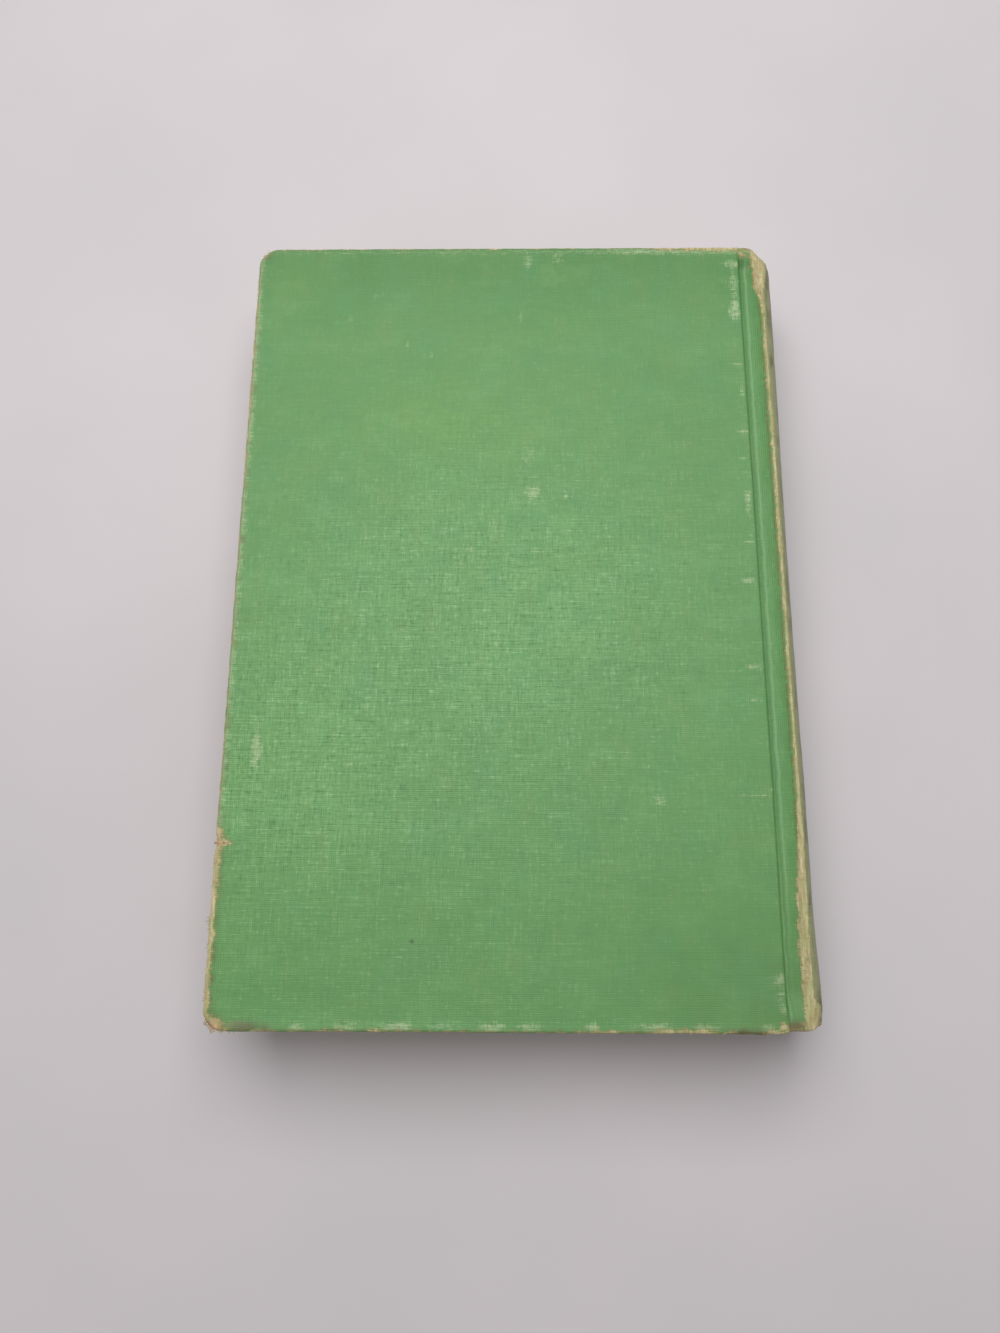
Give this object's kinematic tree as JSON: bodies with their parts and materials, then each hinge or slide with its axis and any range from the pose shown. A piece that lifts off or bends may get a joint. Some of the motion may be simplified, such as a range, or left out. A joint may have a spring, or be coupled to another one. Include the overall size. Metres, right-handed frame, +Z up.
{
  "type": "hardback book",
  "caption": "Cloth-bound hardback book with a rounded spine, closed and lying flat with its back cover up; both covers open on hinged joints.",
  "frame": {"origin": "middle of the closed book's footprint, on the surface that it lies on", "axes": "+Z up through the thickness with the back cover on top, +X toward the spine, +Y toward the head"},
  "size_m": [0.146, 0.21, 0.03],
  "materials": {
    "book_cloth": "matte",
    "board": "matte",
    "leaves": "matte",
    "endpaper": "matte",
    "super": "matte",
    "kraft": "matte",
    "band": "matte"
  },
  "bodies": {
    "book_block": {"text_block": "leaves", "spine_super": "super", "spine_lining": "kraft", "head_band": "band", "tail_band": "band", "spine_inlay": "kraft", "spine_cloth": "book_cloth", "back_endpaper": "endpaper", "front_endpaper": "endpaper"},
    "back_cover": {"back_board": "board", "back_cover_cloth": "book_cloth", "back_pastedown": "endpaper", "back_super_flange": "super"},
    "front_cover": {"front_board": "board", "front_cover_cloth": "book_cloth", "front_pastedown": "endpaper", "front_super_flange": "super"}
  },
  "joints": [
    {"name": "back_cover_hinge", "type": "hinge", "parent": "book_block", "child": "back_cover", "pos_m": [0.0676, 0, 0.0271], "axis": [0, 1, 0], "range_deg": [0, 178]},
    {"name": "front_cover_hinge", "type": "hinge", "parent": "book_block", "child": "front_cover", "pos_m": [0.0676, 0, 0.0029], "axis": [0, -1, 0], "range_deg": [0, 178]}
  ]
}
